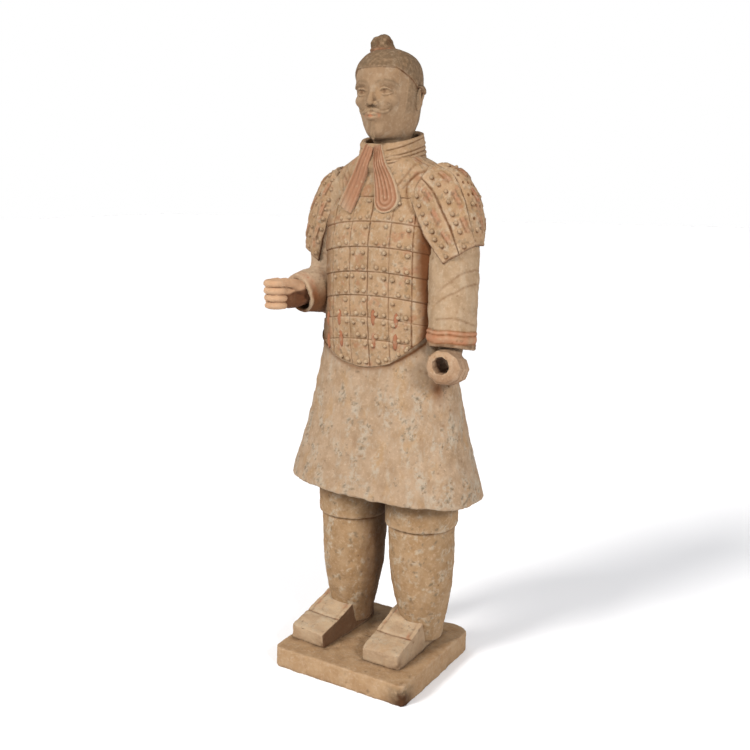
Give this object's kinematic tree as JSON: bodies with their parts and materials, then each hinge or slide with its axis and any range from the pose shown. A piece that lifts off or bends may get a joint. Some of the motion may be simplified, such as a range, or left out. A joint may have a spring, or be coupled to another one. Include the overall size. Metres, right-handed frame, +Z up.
{
  "type": "terracotta warrior statue",
  "caption": "Life-size standing terracotta warrior in plate armour over a long robe, one fist raised to hold a shaft, on a low square plinth.",
  "frame": {"origin": "near the middle of the plinth's underside, on the floor, under the point between the shoes", "axes": "+Z up, the figure faces -Y and its left side is +X"},
  "size_m": [0.624, 0.427, 1.8624],
  "materials": {
    "body_clay": "unglazed, matt, dusty",
    "plinth_clay": "unglazed, rough, darker",
    "head_clay": "unglazed, matt, grey-brown",
    "hand_clay": "unglazed, smooth, pinker"
  },
  "bodies": {
    "root": {"plinth": "plinth_clay", "body": "body_clay", "head": "head_clay", "left_hand": "hand_clay", "right_hand": "hand_clay"}
  },
  "joints": []
}
